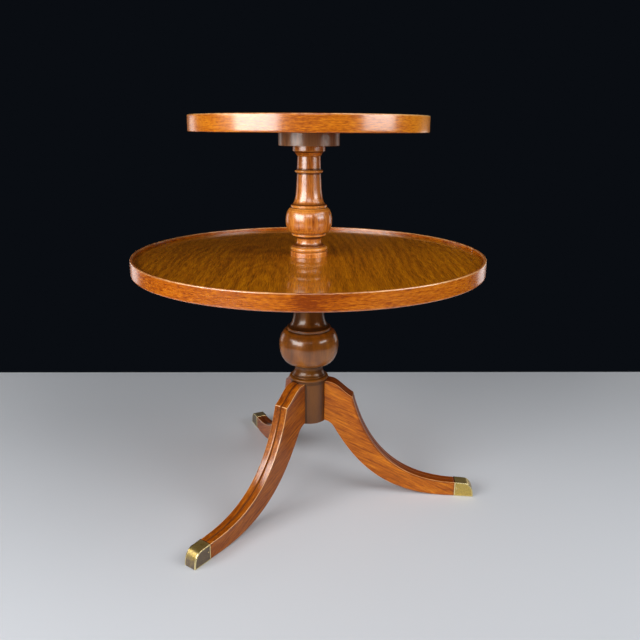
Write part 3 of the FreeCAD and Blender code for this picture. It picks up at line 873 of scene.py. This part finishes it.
def lacquer(shader, weight, roughness, sheen, share=None):
    """The clear coat, and the tint of the sheen below it. `share` is a wire: the part of the
    coat's weight that is left."""
    shader.inputs["Coat Weight"].default_value = weight
    shader.inputs["Coat Roughness"].default_value = roughness
    shader.inputs["Coat IOR"].default_value = LACQUER_IOR
    shader.inputs["Specular Tint"].default_value = sheen
    if share is not None:
        (share * weight).feed(shader, "Coat Weight")


print("polish and lacquer ready")

# %% [markdown]
# ## The hoops' finish
# The hoops are bright orange brown, with the grain running round them, and pale along the top:
# partly wear, partly a painted highlight. Each hoop is darker at one stretch of the strip and paler
# at another. They could be painted by hand, but a soft change of tone at a place along the strip
# does the same.

# %% Hoop finish
UPPER_HOOP = ((0.2, (0.36, 0.068, 0.0010)), (0.5, (0.63, 0.162, 0.003)), (0.8, (0.82, 0.275, 0.010)))
LOWER_HOOP = ((0.2, (0.26, 0.041, 0.0006)), (0.5, (0.53, 0.117, 0.002)), (0.8, (0.74, 0.212, 0.007)))
# Each stretch has its middle and spread in metres along the strip, and its change of tone.
UPPER_STRETCHES = ((0.540, 0.060, -0.14), (0.768, 0.050, 0.28))
LOWER_STRETCHES = ((1.394, 0.040, -0.28), (1.567, 0.070, 0.14))
HOOP_SCALE, HOOP_FIGURE, HOOP_SHIFT = (1.6, 1.3, 1.3), (0.6, 0.6, 1.4), 2.0
HOOP_PORES, HOOP_PORE_COLOUR = 0.45, colour(0.10, 0.016, 0.0)
# Pale top edges: partly wear, partly a painted highlight.
HOOP_WEAR_AND_HIGHLIGHT, HOOP_WEAR_AND_HIGHLIGHT_TONE, HOOP_WEAR_AND_HIGHLIGHT_STEP = 0.35, 0.5, (0.25, 0.85)
HOOP_PALE, HOOP_SHEEN = colour(0.90, 0.58, 0.26), colour(1.0, 0.55, 0.2)
HOOP_ROUGHNESS, HOOP_BUMP = 0.3, 0.2
HOOP_COAT, HOOP_COAT_ROUGHNESS = 1.0, 0.21


def hoop_finish(name, stops, stretches):
    """Grain along the strip. Each stretch adds change times exp(-((along - middle) / spread)^2) to
    the tone, and the pale edges, partly wear and partly a painted highlight, are palest where the
    wood is light."""
    material, start, shader = blank_material(name)
    place = mark(start, "grain", "Vector")
    tone, pores = grain_layers(place.stretch(*HOOP_SCALE), HOOP_FIGURE, HOOP_SHIFT)
    along = place.part("X")
    for middle, spread, change in stretches:
        away = (along - middle) * (1 / spread)
        tone = tone + (away * away * -1.0).math("EXPONENT") * change
    wood = (pores * HOOP_PORES).tint(tone.ramp(stops), HOOP_PORE_COLOUR)
    # Pale top edges: partly wear, partly a painted highlight.
    wear_and_highlight = mark(start, "edge") * (HOOP_WEAR_AND_HIGHLIGHT + HOOP_WEAR_AND_HIGHLIGHT_TONE * tone)
    wood = wear_and_highlight.smooth(*HOOP_WEAR_AND_HIGHLIGHT_STEP).tint(wood, HOOP_PALE)
    polish(shader, wood, tone, pores, HOOP_ROUGHNESS, HOOP_BUMP)
    lacquer(shader, HOOP_COAT, HOOP_COAT_ROUGHNESS, HOOP_SHEEN)
    return material


dress(lower_rim, hoop_finish("lower_hoop_mahogany", LOWER_HOOP, LOWER_STRETCHES))
dress(upper_rim, hoop_finish("upper_hoop_mahogany", UPPER_HOOP, UPPER_STRETCHES))
print("hoop finishes:", [piece.data.materials[0].name for piece in (lower_rim, upper_rim)])

# %% [markdown]
# ## The panels' veneer
# The panels are veneer, cut flat from the log, so faint arches nest along the grain here and
# there. A Wave Texture could imitate them, but the figure is the plan of a tapered trunk, so it
# is worked out as one: its rings are the distance from a slowly rising centre line. The panels are
# the frame's own solids, so the pattern reads Object coordinates. Their underside is dull.

# %% Panel finish
PANEL_GRAIN_TURN = math.radians(126.76)
PANEL_STOPS = ((0.2, (0.155, 0.041, 0.0001)), (0.5, (0.395, 0.117, 0.0003)), (0.8, (0.65, 0.227, 0.001)))
PANEL_SCALE, PANEL_FIGURE, PANEL_SHIFT = (0.6, 2.4, 2.4), (0.5, 0.5, 1.4), 5.0
RING_SPACING = 0.013
TRUNK_RISE, TRUNK_DEPTH, TRUNK_OFFSET = 0.16, 0.045, -0.07
TRUNK_SWAY, RISE_SWAY, SIDE_SWAY = (5.0, 14.0, 1.0), 0.06, 0.05
ARCH_PATCHES, ARCH_STEP = (7.0, 9.0, 1.0, 8.0), (0.35, 0.65)
ARCH_FAINT, ARCH_CLEAR = 0.01, 0.075
PANEL_PORES, PANEL_PORE_COLOUR = 0.5, colour(0.05, 0.012, 0.0)
TOP_STEP = (-0.5, 0.5)
UNDERSIDE_ROUGHNESS, TOP_SMOOTHER, PANEL_BUMP = 0.55, 0.25, 0.12
PANEL_SPECULAR, PANEL_SHEEN = 0.2, colour(1.0, 0.6, 0.25)
PANEL_COAT, PANEL_COAT_ROUGHNESS = 0.55, 0.05


def panel_finish():
    """Rings in flat-cut veneer: sin(2 pi r / RING_SPACING), with r the distance from the centre
    line of a trunk that rises along the grain, swaying a little. Only the top is polished."""
    material, start, shader = blank_material("panel_veneer")
    turned = {"Vector": object_place(start), "Rotation": (0.0, 0.0, -PANEL_GRAIN_TURN)}
    place = start.node("ShaderNodeMapping", None, turned)
    sway = place.stretch(*TRUNK_SWAY).noise() - 0.5
    rise = place.part("X") * TRUNK_RISE + TRUNK_DEPTH + sway * RISE_SWAY
    away = place.part("Y") + TRUNK_OFFSET + sway * SIDE_SWAY
    ring = (rise * rise + away * away).math("SQRT")
    arches = (ring * (2 * math.pi / RING_SPACING)).math("SINE")
    shown = place.stretch(*ARCH_PATCHES).noise().smooth(*ARCH_STEP)
    tone, pores = grain_layers(place.stretch(*PANEL_SCALE), PANEL_FIGURE, PANEL_SHIFT)
    tone = tone + arches * (ARCH_FAINT + ARCH_CLEAR * shown)
    wood = (pores * PANEL_PORES).tint(tone.ramp(PANEL_STOPS), PANEL_PORE_COLOUR)
    top = start.node("ShaderNodeNewGeometry", out="Normal").part("Z").smooth(*TOP_STEP)
    polish(shader, wood, tone, pores, UNDERSIDE_ROUGHNESS - TOP_SMOOTHER * top, PANEL_BUMP)
    shader.inputs["Specular IOR Level"].default_value = PANEL_SPECULAR
    lacquer(shader, PANEL_COAT, PANEL_COAT_ROUGHNESS, PANEL_SHEEN, top)
    return material


panel_wood = panel_finish()
for node in ("lower_tray_panel", "upper_tray_panel"):
    dress(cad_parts[node], panel_wood)
print("panel finish:", len(panel_wood.node_tree.nodes), "nodes")

# %% [markdown]
# ## The finishes of the columns and blocks
# Both columns are turned from solid wood, so the grain goes right through. A pattern wrapped round
# the surface would look like paper. Object coordinates are enough, with the height as the
# direction of the grain, and rings about a pith off to one side draw contour lines on the bulbs,
# as real turning does. The upper column is orange with many streaks, and the lower one is brown
# with broad soft bands. Both have shade painted into their colour where the recess mark is, and
# are dull there. Their edges are painted pale, partly wear and partly a painted highlight. The
# blocks are stained brown.

# %% Column finish
UPPER_STOPS = ((0.2, (0.21, 0.042, 0.003)), (0.5, (0.61, 0.175, 0.016)), (0.8, (0.86, 0.320, 0.048)))
LOWER_STOPS = ((0.2, (0.080, 0.019, 0.001)), (0.5, (0.245, 0.068, 0.003)), (0.8, (0.43, 0.140, 0.009)))
BLOCK_STOPS = ((0.2, (0.18, 0.070, 0.024)), (0.5, (0.38, 0.170, 0.064)), (0.8, (0.52, 0.260, 0.115)))
PITH, PITH_RING = (0.055, 0.03), 0.0045
PITH_SWAY, PITH_SWAY_SCALE = 0.012, (6.0, 25.0, 25.0)
SOLID_PORES, SOLID_PORE_COLOUR = 0.4, colour(0.03, 0.008, 0.001)
# Painted shade where the recess mark is, and less lacquer there.
PAINTED_SHADE_STEP, PAINTED_SHADE_TINT, PAINTED_SHADE_DARKNESS, PAINTED_SHADE_DULL = (0.1, 0.9), 0.9, 0.45, 0.85
# Pale edges: partly wear, partly a painted highlight.
EDGE_WEAR_AND_HIGHLIGHT_STEP, EDGE_WEAR_AND_HIGHLIGHT_PALENESS = (0.2, 1.0), 1.35
WOOD_SHEEN, WOOD_BUMP = colour(1.0, 0.7, 0.45), 0.2


def solid_wood(name, stops, figure, rings, shift, roughness, coat, coat_roughness, edge_wear_and_highlight):
    """Wood right through: its rings are sin(2 pi r / PITH_RING), with r the distance from an
    upright pith, swaying a little. `edge_wear_and_highlight` says how pale the edges are, partly wear and
    partly a painted highlight, and the mark of painted shade darkens the wood. A piece with no marks has 0
    there, and then no painted shade either."""
    material, start, shader = blank_material(name)
    here = object_place(start)
    up, east, north = (here.part(axis) for axis in ("Z", "X", "Y"))
    place = start.node("ShaderNodeCombineXYZ", None, {0: up, 1: east, 2: north})
    tone, pores = grain_layers(place, figure, shift)
    sway = (place.stretch(*PITH_SWAY_SCALE, shift).noise() - 0.5) * PITH_SWAY
    east, north = east - PITH[0], north - PITH[1]
    ring = (east * east + north * north).math("SQRT") + sway
    tone = tone + (ring * (2 * math.pi / PITH_RING)).math("SINE") * rings
    wood = (pores * SOLID_PORES).tint(tone.ramp(stops), SOLID_PORE_COLOUR)
    share = None
    if edge_wear_and_highlight:
        # Painted shade, and pale edges that are partly wear and partly a painted highlight.
        dark = mark(start, "recess").smooth(*PAINTED_SHADE_STEP) * PAINTED_SHADE_TINT
        wood = dark.tint(wood, shade(stops[0][1], PAINTED_SHADE_DARKNESS))
        wear_and_highlight = mark(start, "edge").smooth(*EDGE_WEAR_AND_HIGHLIGHT_STEP) * edge_wear_and_highlight
        wood = wear_and_highlight.tint(wood, shade(stops[2][1], EDGE_WEAR_AND_HIGHLIGHT_PALENESS))
        share = 1 - dark * PAINTED_SHADE_DULL
    polish(shader, wood, tone, pores, roughness, WOOD_BUMP)
    lacquer(shader, coat, coat_roughness, WOOD_SHEEN, share)
    return material


dress(upper_column, solid_wood(
    "upper_column_mahogany", UPPER_STOPS, figure=(0.8, 0.7, 0.7), rings=0.04, shift=11.0,
    roughness=0.34, coat=1.0, coat_roughness=0.22, edge_wear_and_highlight=0.4,
))
dress(lower_column, solid_wood(
    "lower_column_mahogany", LOWER_STOPS, figure=(1.4, 0.1, 0.2), rings=0.015, shift=52.9,
    roughness=0.34, coat=0.55, coat_roughness=0.16, edge_wear_and_highlight=0.15,
))
block_wood = solid_wood(
    "block_stain", BLOCK_STOPS, figure=(0.6, 0.3, 0.3), rings=0.05, shift=31.0,
    roughness=0.40, coat=0.8, coat_roughness=0.28, edge_wear_and_highlight=0.0,
)
for node in ("lower_tray_block", "upper_tray_block"):
    dress(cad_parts[node], block_wood)
print("turned finishes:", [piece.data.materials[0].name for piece in (upper_column, lower_column)])

# %% [markdown]
# ## The finish of the legs
# The legs are the most figured wood of the table: short dark streaks shimmer across them where the
# grain rises and dives. Each leg comes from its own board, so each has its own colours. One colour
# for all three would be simpler, but the real ones differ plainly. The groove is dark, partly
# grime and partly painted shade, the eased edges are pale, partly wear and partly a painted
# highlight, and the backs of two legs are polished. Painted shade makes the back of the right one
# dark, and the backs of the others carry a little painted light and shade.

# %% Leg finish
LEG_BOARDS = {
    "front": ((0.15, (0.125, 0.021, 0.001)), (0.5, (0.325, 0.071, 0.002)), (0.85, (0.54, 0.155, 0.006))),
    "right": ((0.15, (0.220, 0.038, 0.001)), (0.5, (0.480, 0.115, 0.003)), (0.85, (0.72, 0.225, 0.009))),
    "left": ((0.15, (0.120, 0.018, 0.001)), (0.5, (0.280, 0.058, 0.003)), (0.85, (0.44, 0.120, 0.008))),
}
# Painted light and shade on the backs of the legs: a little light on the front one, shade on the left one,
# and deep shade on the right one.
BACK_LIGHT_AND_SHADE = {"front": 0.03, "right": -0.5, "left": -0.1}
LEG_FIGURE, LEG_SHIFT = (0.6, 0.9, 0.6), 17.0
SHIMMER, SHIMMER_SCALE, SHIMMER_NOISE = 0.9, (34.0, 260.0, 420.0, 4.0), (3.0, 0.6, 0.4)
LEG_PORES, LEG_PORE_COLOUR = 0.45, colour(0.07, 0.012, 0.001)
# Pale edges and the knee line: partly wear, partly a painted highlight.
LEG_WEAR_AND_HIGHLIGHT, LEG_WEAR_AND_HIGHLIGHT_TONE, LEG_WEAR_AND_HIGHLIGHT_STEP = 0.5, 0.4, (0.2, 0.8)
# The groove is darkened: partly grime, partly painted shade.
GROOVE_DIRT_AND_SHADE, DIRT_AND_SHADE_ROUGH = -0.85, 0.4
LEG_PALE, LEG_DIRT_AND_SHADE, LEG_SHEEN = colour(0.85, 0.42, 0.14), colour(0.06, 0.012, 0.002), colour(1.0, 0.6, 0.3)
LEG_ROUGHNESS, LEG_BUMP = 0.3, 0.25
LEG_COAT, LEG_COAT_ROUGHNESS = 1.0, 0.16


def leg_finish(name, stops, back_light_and_shade):
    """Grain along the board, with streaks that cross it. The edge mark is pale above 0, partly wear
    and partly a painted highlight, and dark below 0, partly grime and partly painted shade. The back
    mark shifts the tone of the back by painted light and shade, and the gloss mark is the lacquer's
    share."""
    material, start, shader = blank_material(name)
    place = mark(start, "grain", "Vector")
    tone, pores = grain_layers(place, LEG_FIGURE, LEG_SHIFT)
    shimmer = place.stretch(*SHIMMER_SCALE).noise(*SHIMMER_NOISE)
    # The back mark shifts the tone by painted light and shade.
    tone = tone + (shimmer - 0.5) * SHIMMER + mark(start, "back") * back_light_and_shade
    wood = (pores * LEG_PORES).tint(tone.ramp(stops), LEG_PORE_COLOUR)
    # Pale edges, partly wear and partly a painted highlight; a dark groove, partly grime and partly
    # painted shade.
    edge = mark(start, "edge")
    wear_and_highlight = edge * (LEG_WEAR_AND_HIGHLIGHT + LEG_WEAR_AND_HIGHLIGHT_TONE * tone)
    wood = wear_and_highlight.smooth(*LEG_WEAR_AND_HIGHLIGHT_STEP).tint(wood, LEG_PALE)
    dirt_and_shade = (edge * GROOVE_DIRT_AND_SHADE).math("MAXIMUM", 0.0)
    wood = dirt_and_shade.tint(wood, LEG_DIRT_AND_SHADE)
    polish(shader, wood, tone, pores, LEG_ROUGHNESS + dirt_and_shade * DIRT_AND_SHADE_ROUGH, LEG_BUMP)
    lacquer(shader, LEG_COAT, LEG_COAT_ROUGHNESS, LEG_SHEEN, mark(start, "gloss"))
    return material


for piece, (place, stops) in zip(leg_pieces, LEG_BOARDS.items()):
    dress(piece, leg_finish(f"leg_mahogany_{place}", stops, BACK_LIGHT_AND_SHADE[place]))
print("leg finishes:", [piece.data.materials[0].name for piece in leg_pieces])

# %% [markdown]
# ## Metals
# The toe caps are old brass: a dull film in patches, thicker where the film mark says so, which
# also carries painted shade, and bright along the edges, partly scuffed and partly a painted
# highlight. Plain shiny brass would look new. The film is mixed in by noise at two sizes, and it
# is also less of a metal. The insert that joins the columns is plain brass, and the stud and the
# screws are plain steel.

# %% Metal finishes
BRASS, FILM, BRIGHT = colour(0.74, 0.53, 0.14), colour(0.165, 0.122, 0.085), colour(0.95, 0.82, 0.46)
PATCHES, PATCH_NOISE = (150.0, 150.0, 150.0, 2.0), (4.0, 0.65)
SPECKS, SPECK_NOISE = (700.0, 700.0, 700.0, 5.0), (3.0, 0.6)
PATCH_SHARE, SPECK_SHARE = 0.6, 0.4
FILM_MIDDLE, FILM_PULL, FILM_STEP = 0.6, 0.4, (0.22, 0.78)
# Bright edges: partly scuffs, partly a painted highlight.
SCUFF_AND_HIGHLIGHT_STEP, SCUFF_AND_HIGHLIGHT, SCUFF_AND_HIGHLIGHT_SPECKS = (0.12, 0.6), 0.4, 0.6
BRASS_ROUGHNESS, FILM_ROUGH, SPECK_ROUGH = 0.23, 0.18, 0.06
FILM_DIELECTRIC = 0.55
CAST_BUMP, CAST_DEPTH = 0.12, 0.2 * MM
TURNING_MARKS, TURNING_ROUGH, TURNING_SHADE = (300.0, 300.0, 2500.0), 0.2, 0.8


def aged_brass():
    """Brass under tarnish: patches and specks pushed up or down by the film mark, which also carries
    painted shade, and none of it where the edge mark makes the metal bright, partly scuffed and
    partly a painted highlight."""
    material, start, shader = blank_material("aged_brass")
    here = object_place(start)
    patches = here.stretch(*PATCHES).noise(*PATCH_NOISE)
    specks = here.stretch(*SPECKS).noise(*SPECK_NOISE)
    mottle = patches * PATCH_SHARE + specks * SPECK_SHARE
    # The film mark adds painted shade to the tarnish.
    film = (mottle + (mark(start, "film") - FILM_MIDDLE) * FILM_PULL).smooth(*FILM_STEP)
    wear_and_highlight = mark(start, "edge").smooth(*SCUFF_AND_HIGHLIGHT_STEP)
    film = film * (1 - wear_and_highlight)
    metal = (wear_and_highlight * (SCUFF_AND_HIGHLIGHT + SCUFF_AND_HIGHLIGHT_SPECKS * specks)).tint(film.tint(BRASS, FILM), BRIGHT)
    metal.feed(shader, "Base Color")
    (BRASS_ROUGHNESS + film * FILM_ROUGH + specks * SPECK_ROUGH).feed(shader, "Roughness")
    (1 - film * FILM_DIELECTRIC).feed(shader, "Metallic")
    relief = {"Strength": CAST_BUMP, "Distance": CAST_DEPTH, "Height": mottle}
    start.node("ShaderNodeBump", None, relief).feed(shader, "Normal")
    return material


def plain_metal(name, tone, dull):
    """Machined metal: fine turning marks in its roughness and a slight change of tone."""
    material, start, shader = blank_material(name)
    turned = object_place(start).stretch(*TURNING_MARKS).noise()
    turned.tint(shade(tone, TURNING_SHADE), colour(*tone)).feed(shader, "Base Color")
    (turned * TURNING_ROUGH + dull).feed(shader, "Roughness")
    shader.inputs["Metallic"].default_value = 1.0
    return material


toe_brass = aged_brass()
for piece in (*cap_pieces, pins):
    dress(piece, toe_brass)
steel = plain_metal("screw_steel", tone=(0.42, 0.41, 0.40), dull=0.25)
insert_brass = plain_metal("insert_brass", tone=(0.62, 0.46, 0.18), dull=0.2)
hardware = {"coupling_stud": steel, "lower_block_screws": steel, "upper_block_screws": steel,
            "coupling_insert": insert_brass}
for node, metal in hardware.items():
    dress(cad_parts[node], metal)
print("metals ready for", len(cap_pieces) + 1 + len(hardware), "pieces")

# %% [markdown]
# ## The camera
# The photograph was taken from just below the upper tray, looking down a little, with the legs
# turned partly round. A camera could be aimed at the table by eye, but then no edge would fall
# where it does in the photograph. So lens and place were worked out from the trays' ellipses and
# the feet.

# %% Place the camera
VIEW_TURN = math.radians(36.76)
CAMERA_REACH, CAMERA_HEIGHT = 1.133582, 0.669251
CAMERA_PITCH, CAMERA_YAW, CAMERA_ROLL = (math.radians(value) for value in (-16.386, 1.023, 0.32))
CAMERA_LENS = 36.548

forward = Vector((
    math.sin(CAMERA_YAW) * math.cos(CAMERA_PITCH),
    math.cos(CAMERA_YAW) * math.cos(CAMERA_PITCH),
    math.sin(CAMERA_PITCH),
))
level = Vector((math.cos(CAMERA_YAW), -math.sin(CAMERA_YAW), 0.0))
right = level * math.cos(CAMERA_ROLL) + level.cross(forward) * math.sin(CAMERA_ROLL)
axes = Matrix((right, right.cross(forward), -forward)).transposed().to_4x4()
spot = Matrix.Translation((0.0, -CAMERA_REACH, CAMERA_HEIGHT))
camera_data = bpy.data.cameras.new("camera")
camera_data.lens = CAMERA_LENS
camera = bpy.data.objects.new("camera", camera_data)
camera.matrix_world = Matrix.Rotation(VIEW_TURN, 4, "Z") @ spot @ axes
bpy.context.scene.collection.objects.link(camera)
bpy.context.scene.camera = camera
print("camera at", [round(value, 3) for value in camera.matrix_world.translation])

# %% [markdown]
# ## Light
# Gloss shows its lamps, so each softbox has a job. A large one stands to the left of the camera
# and a small one to the right. A large one hangs high on the right, and one above the camera
# lights the front. A small one further to the left draws the sheen on the legs, and two low ones
# behind the table light the ends of the rims. A bright world could light everything at once, but
# it would veil the dark polish, so the world is nearly black.

# %% Set up the softboxes
AIM_HEIGHT = 0.42
STUDIO_DARK = (0.003, 0.004, 0.006)
# Degrees round from the camera, distance from the axis, height, width and height of the box, watts.
SOFTBOXES = {
    "key": (-46.0, 1.75, 0.98, 1.35, 0.90, 28.0),
    "fill": (61.0, 1.15, 0.78, 0.64, 0.24, 2.9),
    "high": (62.0, 1.40, 1.75, 1.80, 1.10, 19.0),
    "front": (0.0, 1.70, 1.35, 1.00, 0.50, 6.0),
    "side": (-72.0, 1.30, 1.00, 0.40, 0.52, 2.6),
    "left_back": (-132.0, 1.93, 0.38, 0.50, 0.76, 1.4),
    "right_back": (132.0, 1.93, 0.32, 0.50, 0.64, 1.15),
}


def softbox(name, turn, reach, height, width, tall, power):
    """A soft rectangular lamp, turned this many degrees round the table from the camera."""
    lamp = bpy.data.lights.new(name, "AREA")
    lamp.shape = "RECTANGLE"
    lamp.size, lamp.size_y, lamp.energy = width, tall, power
    middle = Matrix.Rotation(VIEW_TURN + math.radians(turn), 4, "Z") @ Vector((0.0, -reach, height))
    holder = bpy.data.objects.new(name, lamp)
    holder.location = middle
    holder.rotation_euler = (Vector((0.0, 0.0, AIM_HEIGHT)) - middle).to_track_quat("-Z", "Y").to_euler()
    holder.visible_camera = False
    bpy.context.scene.collection.objects.link(holder)


for name, values in SOFTBOXES.items():
    softbox(name, *values)
world = bpy.data.worlds.new("studio")
world.use_nodes = True
world.node_tree.nodes["Background"].inputs["Color"].default_value = colour(*STUDIO_DARK)
bpy.context.scene.world = world
bpy.context.scene.view_settings.view_transform = "Standard"

# %% [markdown]
# ## Floor
# The floor is plain and pale, and it ends a little behind the table, where the dark begins. A
# floor that is solid from both sides would hide the table from below. So a Mix Shader makes its
# back clear, and the underside of the table can be looked at.

# %% Lay the floor
FLOOR_DROP = 0.2 * MM
FLOOR_HALF, FLOOR_BACK = 1.2, 0.612
FLOOR_COLOUR, FLOOR_ROUGHNESS = (0.64, 0.665, 0.705), 0.6

floor_corners = np.array([(-FLOOR_HALF, -FLOOR_HALF), (FLOOR_HALF, -FLOOR_HALF),
                          (FLOOR_HALF, FLOOR_BACK), (-FLOOR_HALF, FLOOR_BACK)])
floor_mesh = bpy.data.meshes.new("floor")
floor_mesh.from_pydata(np.insert(floor_corners, 2, -FLOOR_DROP, 1).tolist(), [], [(0, 1, 2, 3)])
floor = bpy.data.objects.new("floor", floor_mesh)
floor.rotation_euler.z = VIEW_TURN
bpy.context.scene.collection.objects.link(floor)
floor_material, start, shader = blank_material("pale_floor")
shader.inputs["Base Color"].default_value = colour(*FLOOR_COLOUR)
shader.inputs["Roughness"].default_value = FLOOR_ROUGHNESS
below = start.node("ShaderNodeNewGeometry", out="Backfacing")
clear = start.node("ShaderNodeBsdfTransparent")
pale = Wire(start.tree, shader.outputs[0])
seen = start.node("ShaderNodeMixShader", None, {0: below, 1: pale, 2: clear})
seen.feed(start.tree.nodes["Material Output"], "Surface")
dress(floor, floor_material)
print("floor reaches", FLOOR_BACK, "m behind the axis")

# %% [markdown]
# The finished look must not outgrow the solids.
